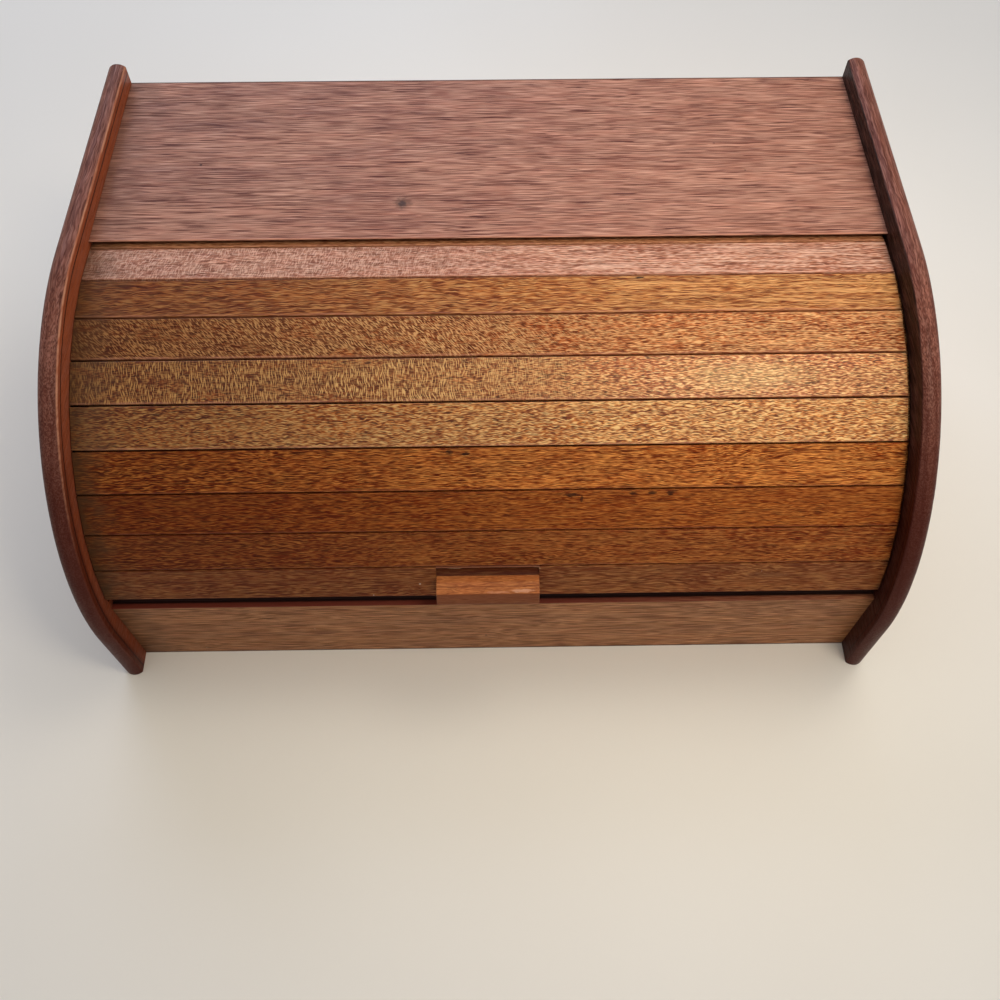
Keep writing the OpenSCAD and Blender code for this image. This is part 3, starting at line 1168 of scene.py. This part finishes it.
@dataclass
class FrontRail:
    """The low front board, with a rebate and a seat for the lead slat."""

    circle: Circle
    half: float = 200.0
    face_y: float = -127.5
    back_y: float = -117.5
    step_y: float = -123.2
    high: float = 60.5
    seat_gap: float = 0.3
    plain: float = 10.0
    ease: float = 0.35

    def seat(self, y: float) -> Point:
        """The lead slat's seat at a depth."""
        a = math.radians(self.circle.middle(1))
        edge = -self.circle.slat_w / 2 - self.seat_gap
        out = (self.circle.axis_y + edge * math.cos(a) - y) / math.sin(a)
        return (y, self.circle.axis_h + edge * math.sin(a) + out * math.cos(a))

    def build(self) -> None:
        """Builds the rail."""
        h = Housing()
        floor = self.back_y - h.depth
        form = Form().pen(-self.half, self.face_y, 0.0)
        form.lines((self.back_y, 0.0), (self.back_y, h.low), (floor, h.low), (floor, h.high), (self.back_y, h.high))
        form.lines(self.seat(self.back_y), self.seat(self.step_y), (self.step_y, self.high), (self.face_y, self.high))
        form.close().extrude(2 * self.half)
        sharp = form.sharp(50.0)
        form.round_off(lambda e: sharp(e) and max(v.co.z for v in e.verts) > self.plain - HAIR, self.ease, 3)
        material = self.finish().material(Placement((0.0, self.face_y, 0.0), 90.0))
        install("front_rail", "case", "rail_wood", form.mesh("front_rail"), material)

    def finish(self) -> Wood:
        """Dull pinkish brown board with straight grain."""
        spot = Mark(-4.9, 18.8, 1.0, 1.0, tone(40, 20, 16), 0.9)
        edge = Edge(half=30.2, middle=30.3, wear_and_highlight=0.75, end_dark=0.5, end=200.0)
        return Wood(
            "rail_oiled",
            tone(149, 95, 46), tone(67, 21, 4), tone(221, 159, 113), tone(104, 58, 40), 17.0,
            line=0.42, run=26.0, wander=2.0, wave=0.6, streak=0.7, pores=0.5, dash=22.0, gloss=0.48, relief=0.03,
            dust=0.3, dusk=0.25, layers=(spot, edge, RebateShade()),
        )


@dataclass
class Slat:
    """One slat of the curtain, with a thin tongue at each end."""

    number: int
    wood: Wood
    circle: Circle
    half: float = 199.2
    tongue: float = 5.0
    tongue_t: float = 3.0
    shift: float = -0.5
    ease: float = 0.45
    slot: str = "slat_wood"

    def form(self) -> Form:
        """Draws the slat at the crown of the circle."""
        low, high, side = self.circle.inner_r, self.circle.face_r, self.circle.slat_w / 2
        form = Form().block((self.shift - self.half, -side, low), (self.shift + self.half, side, high))
        bm = form.bm
        shelf = low + self.tongue_t
        geometry = bm.verts[:] + bm.edges[:] + bm.faces[:]
        bmesh.ops.bisect_plane(bm, geom=geometry, plane_co=(0, 0, shelf), plane_no=(0, 0, 1))
        for way in (-1, 1):
            ends = [f for f in bm.faces if f.normal.x * way > 0.9 and f.calc_center_median().z < shelf]
            form.pull(ends, (way * self.tongue, 0.0, 0.0))
        return form.round_off(lambda e: all(v.co.z > high - HAIR for v in e.verts), self.ease, 3)

    def tools(self) -> list[Form]:
        """The shapes that are cut out of the slat."""
        return []

    def build(self) -> None:
        """Builds the slat."""
        name = f"slat_{self.number:02d}"
        mesh = self.form().mesh(name, self.circle.matrix(self.number))
        material = self.wood.material(self.circle.placement(self.number))
        install(name, "curtain", self.slot, mesh, material, self.tools())


@dataclass
class LeadSlat(Slat):
    """The lowest slat, with a finger hollow above the pull."""

    slot: str = "lead_wood"
    pull_x: float = -3.0
    hollow_w: float = 52.0
    hollow_r: float = 3.6
    hollow_depth: float = 1.6
    hollow_in: float = 3.0

    def tools(self) -> list[Form]:
        """The round-bottomed finger hollow."""
        y = self.circle.slat_w / 2 - self.hollow_in
        z = self.circle.face_r + self.hollow_r - self.hollow_depth
        hollow = Form().rod((self.pull_x, y, z), self.hollow_r, self.hollow_w)
        hollow.bm.transform(self.circle.matrix(self.number))
        return [hollow]


@dataclass
class Pull:
    """The finger pull with a bevelled upper edge, and its two screws."""

    circle: Circle
    centre_x: float = -3.0
    width: float = 52.0
    top: float = 4.325
    bottom: float = -7.275
    out: float = 8.9
    bevel: float = 4.2
    ease: float = 0.55
    span: float = 30.0
    head_r: float = 3.0
    head_h: float = 1.5
    shank_r: float = 1.5
    shank: float = 10.5
    slot_w: float = 0.7
    slot_depth: float = 0.7
    past: float = 1.0

    def build(self) -> None:
        """Builds the pull and the screws."""
        face = self.circle.face_r
        front = face + self.out
        form = Form().pen(self.centre_x - self.width / 2, self.bottom, face)
        form.lines((self.top, face), (self.top, front - self.bevel), (self.top - self.bevel, front))
        form.line(self.bottom, front).close().extrude(self.width)
        sharp = form.sharp(30.0)
        form.round_off(lambda e: sharp(e) and any(v.co.z > face + HAIR for v in e.verts), self.ease, 3)
        mesh = form.mesh("pull", self.circle.matrix(1))
        install("pull", "curtain", "pull_wood", mesh, self.finish().material(self.circle.placement(1)))
        self.screws()

    def screws(self) -> None:
        """Builds the two slotted screws seen from inside."""
        z = self.circle.inner_r
        y = (self.top + self.bottom) / 2
        form, slots = Form(), []
        for side in (-1, 1):
            x = self.centre_x + side * self.span / 2
            form.rod((x, y, z + self.head_h / 2), self.head_r, self.head_h, "Z", self.shank_r)
            form.rod((x, y, z + self.head_h + self.shank / 2), self.shank_r, self.shank, "Z")
            reach, half = self.head_r + self.past, self.slot_w / 2
            slot = Form().block((x - reach, y - half, z - self.past), (x + reach, y + half, z + self.slot_depth))
            slot.bm.transform(self.circle.matrix(1))
            slots.append(slot)
        mesh = form.mesh("pull_screws", self.circle.matrix(1))
        brass = Metal("screw_brass_worn", tone(206, 172, 98), tone(122, 92, 48))
        install("pull_screws", "curtain", "screw_brass", mesh, brass.material(), slots)

    def finish(self) -> Wood:
        """Warm red-brown block, rubbed pale where fingers touch it, with painted shade on its front face."""
        return Wood(
            "pull_oiled",
            tone(172, 98, 50), tone(128, 66, 32), tone(204, 134, 78), tone(84, 40, 20), 23.0,
            run=10.0, wander=1.2, streak=0.5, pores=0.45, relief=0.04,
            layers=(
                # painted shade: the whole front face below the bevel is darker
                Band((-40.0, -8.0), (40.0, 0.2), tone(96, 44, 20), 0.75),
                Band((-40.0, -8.0), (40.0, -6.6), tone(104, 74, 48), 0.5),
                Band((-40.0, 2.7), (40.0, 3.1), tone(110, 50, 18), 0.7),
                Mark(14.0, 1.2, 9.0, 0.9, tone(214, 160, 130), 0.7),
                Mark(2.0, 0.8, 9.0, 0.7, tone(196, 134, 100), 0.6),
            ),
        )


@dataclass
class Backing:
    """The canvas glued along the slats' inner faces."""

    circle: Circle
    width: float = 384.0
    shift: float = -0.5
    thick: float = 0.42
    columns: int = 96
    rows: int = 8
    glue: float = 0.06
    crown: float = 0.2
    pucker: float = 0.16
    fold: float = 0.5
    waves: tuple[Triple, ...] = ((0.6, 0.21, 1.9), (0.4, 0.083, 1.0))

    def radius(self, x: float, along: float) -> float:
        """Distance of the canvas from the curtain's centre.

        Args:
            x: Place across the box, in millimetres.
            along: Place along the curtain, in slats.

        Returns:
            The distance: flat on each slat, and drawn in a little at the joints.
        """
        c = self.circle
        off = (along - math.floor(along) - 0.5) * c.step
        flat = (c.inner_r - self.glue) / math.cos(math.radians(off))
        crease = math.exp(-((c.step / 2 - abs(off)) / self.fold) ** 2)
        waves = 1 + sum(share * math.sin(x * per_mm + along * per_slat) for share, per_mm, per_slat in self.waves)
        return min(flat, c.inner_r + self.crown) - self.pucker * crease * waves

    def build(self) -> None:
        """Builds the sheet with its weave map."""
        c = self.circle
        length = c.slats * (c.slat_w + c.gap)
        form = Form()
        weave = form.bm.loops.layers.uv.new("weave")
        bmesh.ops.create_grid(form.bm, x_segments=self.columns, y_segments=c.slats * self.rows, size=0.5)
        for face in form.bm.faces:
            for loop in face.loops:
                loop[weave].uv = ((loop.vert.co.x + 0.5) * self.width, (loop.vert.co.y + 0.5) * length)
        for vert in form.bm.verts:
            x = vert.co.x * self.width + self.shift
            angle = (vert.co.y + 0.5) * (c.lead + c.tail)
            a = math.radians(c.lead - angle)
            r = self.radius(x, angle / c.step)
            vert.co = (x, c.axis_y - r * math.sin(a), c.axis_h + r * math.cos(a))
        piece = new_object("cloth_backing_canvas", form.outward().mesh("cloth_backing_canvas"))
        upward = sum(f.normal.z for f in piece.data.polygons) > 0
        wall = piece.modifiers.new("cloth_thickness", "SOLIDIFY")
        wall.thickness = self.thick * MM
        wall.offset = -1.0 if upward else 1.0
        fasten(piece, "curtain", "cloth_backing", "cloth", Canvas().material())
        self.width * MM
        length * MM


@dataclass
class HiddenParts:
    """The panels, dowels and pins, whose CAD shapes stay and get their finish."""

    nodes: Mapping[str, bpy.types.Object]

    def dress(self) -> None:
        """Gives each CAD node its material."""
        bottom = Wood(
            "bottom_ply_face", tone(186, 146, 98), tone(156, 112, 70), tone(206, 170, 122), tone(104, 72, 46), 31.0,
            pores=0.5, gloss=0.6, relief=0.03,
        )
        back = Wood(
            "back_ply_face", tone(158, 106, 68), tone(124, 76, 46), tone(182, 132, 88), tone(84, 48, 30), 37.0,
            pores=0.55, gloss=0.5, relief=0.03,
        )
        beech = Wood(
            "dowel_beech", tone(206, 172, 120), tone(182, 142, 92), tone(222, 194, 146), tone(140, 100, 62), 41.0,
            line=0.6, run=9.0, gloss=0.6,
        )
        steel = Metal("pin_steel_dulled", tone(150, 146, 138), tone(84, 70, 58), 0.42)
        self.assign("bottom_panel", Plywood(bottom, middle=6.0, thick=6.0, upright=False).material())
        self.assign("back_panel", Plywood(back, middle=139.25, thick=3.5, upright=True).material())
        self.assign("corner_dowels", beech.material(Placement()))
        self.assign("panel_pins", steel.material())

    def assign(self, node: str, material: bpy.types.Material) -> None:
        """Puts a material into every slot of a CAD node."""
        slots = self.nodes[node].material_slots
        for slot in slots:
            slot.material = material
        log.info("node %s: %s in %d slots", node, material.name, len(slots))


@dataclass
class Curtain:
    """The eleven slats, their canvas and the pull."""

    circle: Circle
    front_slats: int = 4
    first_seed: float = 50.0
    pore: Colour = tone(78, 36, 14)
    burn: Colour = tone(40, 20, 12)

    def wood(self, number: int, body: Colour, deep: Colour, pale: Colour, *layers: Layer, **grain: Any) -> Wood:
        """One slat's timber.

        Args:
            number: The slat's number, from the lead slat up and back.
            body: The ground tone.
            deep: The tone of the dark lines.
            pale: The tone of the light lines.
            layers: What lies over the grain, below the worn edges.
            grain: The timber's other values.

        Returns:
            The timber.
        """
        edge = Edge(half=self.circle.slat_w / 2)
        if number <= self.front_slats:
            edge = Edge(half=self.circle.slat_w / 2, wear_and_highlight=0.28, end_dark=0.85, far=10.0, rub_and_highlight=tone(150, 88, 66))
        seed = self.first_seed + number
        return Wood(f"slat_{number:02d}_oiled", body, deep, pale, self.pore, seed, layers=(*layers, edge), **grain)

    def scorch(self, *places: tuple[float, ...]) -> list[Mark]:
        """Burn marks, each given by place, size and strength."""
        return [Mark(x, y, wide, tall, self.burn, *strength) for x, y, wide, tall, *strength in places]

    def woods(self) -> list[Wood]:
        """The slats' timbers, from the lead slat up and back."""

        def lines(strength: float, length: float, width: float, start: float) -> Fleck:
            """Long pale lines with the grain, from a place on the slat to its right end."""
            return Fleck(strength, 90.0, length, width, start, 320.0, 0.0)

        fine = {"run": 7.5, "dash": 8, "shine": 0.1, "line": 0.36, "pores": 0.8}
        fine["flecks"] = (lines(0.35, 26.0, 0.55, -60.0),)
        lead = (
            # painted shade in the finger hollow above the pull
            Band((-29.0, 4.0), (23.0, 9.6), tone(62, 22, 10), 0.72),
            # pale line along the hollow's upper arris: partly finger wear, partly painted highlight
            Band((-29.0, 9.7), (23.0, 10.4), tone(178, 120, 96), 0.7),
            Mark(-37.6, -1.3, 1.0, 0.8, tone(226, 214, 200)),
            Mark(139.0, 2.2, 17.0, 3.4, tone(104, 62, 38), 0.5),
            Mark(-19.5, 8.4, 4.5, 0.6, tone(214, 176, 136), 0.7),
            Mark(21.8, 9.2, 3.5, 0.8, tone(214, 182, 144), 0.7),
        )
        third = self.scorch((38.0, 8.2, 7.0, 1.6), (43.0, 6.2, 1.2, 3.0, 0.7), (68.0, 8.6, 3.4, 1.5),
                            (77.5, 8.9, 3.4, 1.2), (86.0, 8.4, 2.6, 1.7))
        fourth = self.scorch((-20.5, 8.3, 2.6, 2.0, 0.9), (-12.5, 7.4, 3.4, 1.3, 0.9))
        # painted highlight: a pale warm patch near slat 6's right end, where the front lamp's reflection falls
        painted_glare = Mark(122.0, 0.0, 46.0, 12.0, tone(255, 228, 160), 0.16)
        return [
            self.wood(1, tone(132, 66, 22), tone(80, 24, 8), tone(178, 124, 72), *lead, dusk=0.45, shine=0.14,
                      run=12, line=0.6, wander=4.5, wave=1.0, streak=0.6, gloss=0.46, dust=0.5),
            self.wood(2, tone(136, 54, 8), tone(84, 24, 4), tone(192, 124, 62), streak=0.85, dusk=0.7, **fine),
            self.wood(3, tone(142, 62, 7), tone(97, 28, 4), tone(196, 122, 56), *third,
                      streak=0.85, dusk=0.75, **fine),
            self.wood(4, tone(158, 68, 10), tone(84, 22, 3), tone(236, 158, 80), *fourth,
                      streak=0.9, dusk=0.8, **fine),
            self.wood(5, tone(216, 132, 58), tone(114, 46, 8), tone(244, 202, 136), dusk=0.9, run=5.0,
                      streak=0.95, pores=0.8, dash=4.5, wave=2.2, gloss=0.33, shine=0.3, blush=0.1),
            self.wood(6, tone(202, 108, 46), tone(106, 44, 8), tone(244, 198, 130), painted_glare, dusk=0.85, run=4.5,
                      streak=0.85, pores=0.9, dash=4.0, gloss=0.33, shine=0.3, blush=0.1,
                      flecks=(Fleck(1.0, 4.0, 3.2, 0.48, end=10.0),)),
            self.wood(7, tone(196, 98, 34), tone(86, 30, 6), tone(228, 180, 122), dusk=0.85, shine=0.14,
                      run=5.5, streak=0.85, dash=5.0,
                      flecks=(Fleck(0.95, 48.0, 2.4, 0.48, end=20.0), lines(0.4, 30.0, 0.6, 110.0))),
            self.wood(8, tone(182, 106, 41), tone(101, 33, 3), tone(216, 161, 101),
                      *self.scorch((73.4, 9.2, 3.0, 1.1, 0.9)), dusk=0.85, shine=0.14,
                      run=11.0, wave=2.2, streak=0.9, flecks=(lines(0.6, 40.0, 0.7, 60.0),)),
            self.wood(9, tone(189, 121, 88), tone(107, 53, 33), tone(223, 182, 159), run=7.0, pores=0.65, gloss=0.38,
                      flecks=(Fleck(0.45, -14.0, 2.4, 0.5, end=-20.0, shade=0.2), lines(0.5, 40.0, 0.8, 40.0))),
            self.wood(10, tone(176, 116, 78), tone(132, 80, 50), tone(208, 152, 108)),
            self.wood(11, tone(170, 110, 72), tone(128, 76, 46), tone(204, 146, 100)),
        ]

    def build(self) -> None:
        """Builds every part of the curtain."""
        for number, wood in enumerate(self.woods(), start=1):
            kind = LeadSlat if number == 1 else Slat
            kind(number, wood, self.circle).build()
        Backing(self.circle).build()
        Pull(self.circle).build()


# ----------------------------------------------------------------- the studio


def add_thing(name: str, data: bpy.types.ID, matrix: Matrix) -> bpy.types.Object:
    """Puts a lamp or a camera into the scene at a place."""
    thing = bpy.data.objects.new(name, data)
    thing.matrix_world = matrix
    bpy.context.scene.collection.objects.link(thing)
    return thing


@dataclass(frozen=True)
class Lamp:
    """A soft rectangular lamp aimed at the box."""

    name: str
    place: Triple
    aim: Triple
    size: Point
    power: float
    colour: Triple
    spread: float = 180.0

    def build(self) -> None:
        """Builds the lamp."""
        data = bpy.data.lights.new(self.name, "AREA")
        data.shape = "RECTANGLE"
        data.size, data.size_y = self.size
        data.energy = self.power
        data.color = self.colour
        data.spread = math.radians(self.spread)
        turn = (Vector(self.aim) - Vector(self.place)).to_track_quat("-Z", "Y").to_matrix().to_4x4()
        add_thing(self.name, data, Matrix.Translation(self.place) @ turn)


@dataclass(frozen=True)
class Studio:
    """Pale floor, soft lamps, and the camera above the front of the box."""

    eye: Triple = (1.7, -348.1, 545.9)
    heading: float = -0.48
    dip: float = 58.76
    tilt: float = -0.70
    sensor: float = 36.0
    lens: float = 36.35
    shift: Point = (-0.0044, -0.0167)
    clip: Point = (0.01, 60.0)
    ambient: float = 0.47
    ambient_colour: Colour = (1.0, 0.97, 0.93, 1.0)
    ground: Colour = tone(216, 213, 208)
    floor_size: float = 9000.0
    floor_tones: tuple[Colour, Colour] = (tone(234, 230, 222), tone(238, 235, 228))
    lamps: tuple[Lamp, ...] = (
        Lamp("overhead_softbox", (0.38, 0.30, 0.95), (0.10, 0.0, 0.15), (0.5, 0.5), 0.36, (1.0, 0.90, 0.76), 56.0),
        Lamp("front_softbox", (0.30, -0.28, 0.85), (0.11, 0.0, 0.15), (0.2, 0.2), 0.56, (1.0, 0.88, 0.70), 84.0),
        Lamp("window_wall", (-0.44, 1.51, 1.27), (-0.05, 0.08, 0.17), (1.6, 0.8), 15.5, (0.66, 0.76, 1.0)),
        Lamp("side_wall", (1.1, 0.15, 0.8), (0.05, 0.0, 0.1), (0.8, 0.8), 1.1, (1.0, 0.93, 0.84)),
    )

    def build(self) -> None:
        """Builds the floor, the light and the camera."""
        self.floor()
        self.world()
        for lamp in self.lamps:
            lamp.build()
        self.camera()
        bpy.context.scene.view_settings.view_transform = "Standard"
        log.info("studio ready")

    def floor(self) -> None:
        """Lays a plain pale floor."""
        form = Form()
        bmesh.ops.create_grid(form.bm, x_segments=1, y_segments=1, size=self.floor_size)
        floor = new_object("studio_floor", form.mesh("studio_floor"))
        face = Face("floor_pale", Placement(), 3.0, self.floor_tones[0])
        face.lay(face.noise((320.0, 320.0, 320.0), 0.0, 2.0).spread(0.3, 0.7), self.floor_tones[1])
        floor.data.materials.append(face.material(0.6, 0.0))

    def world(self) -> None:
        """Fills the room with even light, and shows a pale ground to the camera."""
        world = bpy.data.worlds.new("studio_world")
        bpy.context.scene.world = world
        world.use_nodes = True
        tree = world.node_tree
        tree.nodes.clear()
        output = tree.nodes.new("ShaderNodeOutputWorld")
        mix = tree.nodes.new("ShaderNodeMixShader")
        path = tree.nodes.new("ShaderNodeLightPath")
        tree.links.new(path.outputs["Is Camera Ray"], mix.inputs[0])
        for socket, colour, strength in ((1, self.ambient_colour, self.ambient), (2, self.ground, 1.0)):
            sky = tree.nodes.new("ShaderNodeBackground")
            sky.inputs["Color"].default_value = colour
            sky.inputs["Strength"].default_value = strength
            tree.links.new(sky.outputs[0], mix.inputs[socket])
        tree.links.new(mix.outputs[0], output.inputs["Surface"])

    def camera(self) -> None:
        """Sets the camera at the photograph's viewing angle."""
        dip = math.radians(self.dip)
        level = Matrix(((1, 0, 0), (0, -math.sin(dip), -math.cos(dip)), (0, math.cos(dip), -math.sin(dip))))
        heading = Matrix.Rotation(math.radians(self.heading), 3, "Y")
        tilt = Matrix.Rotation(math.radians(self.tilt), 3, "Z")
        right, down, ahead = tilt @ heading @ level
        data = bpy.data.cameras.new("camera")
        data.sensor_width = self.sensor
        data.lens = self.lens
        data.shift_x, data.shift_y = self.shift
        data.clip_start, data.clip_end = self.clip
        matrix = Matrix((right, -down, -ahead)).transposed().to_4x4()
        matrix.translation = Vector(self.eye) * MM
        bpy.context.scene.camera = add_thing("camera", data, matrix)


def main() -> None:
    """Builds the box, dresses it and lights it."""
    logging.basicConfig(level=logging.INFO, format="%(message)s")
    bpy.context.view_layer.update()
    circle = Circle()
    for side in Side:
        Cheek(side, circle).build()
    TopBoard(circle).build()
    FrontRail(circle).build()
    HiddenParts(frame["nodes"]).dress()
    Curtain(circle).build()
    Studio().build()


if __name__ == "__main__":
    main()
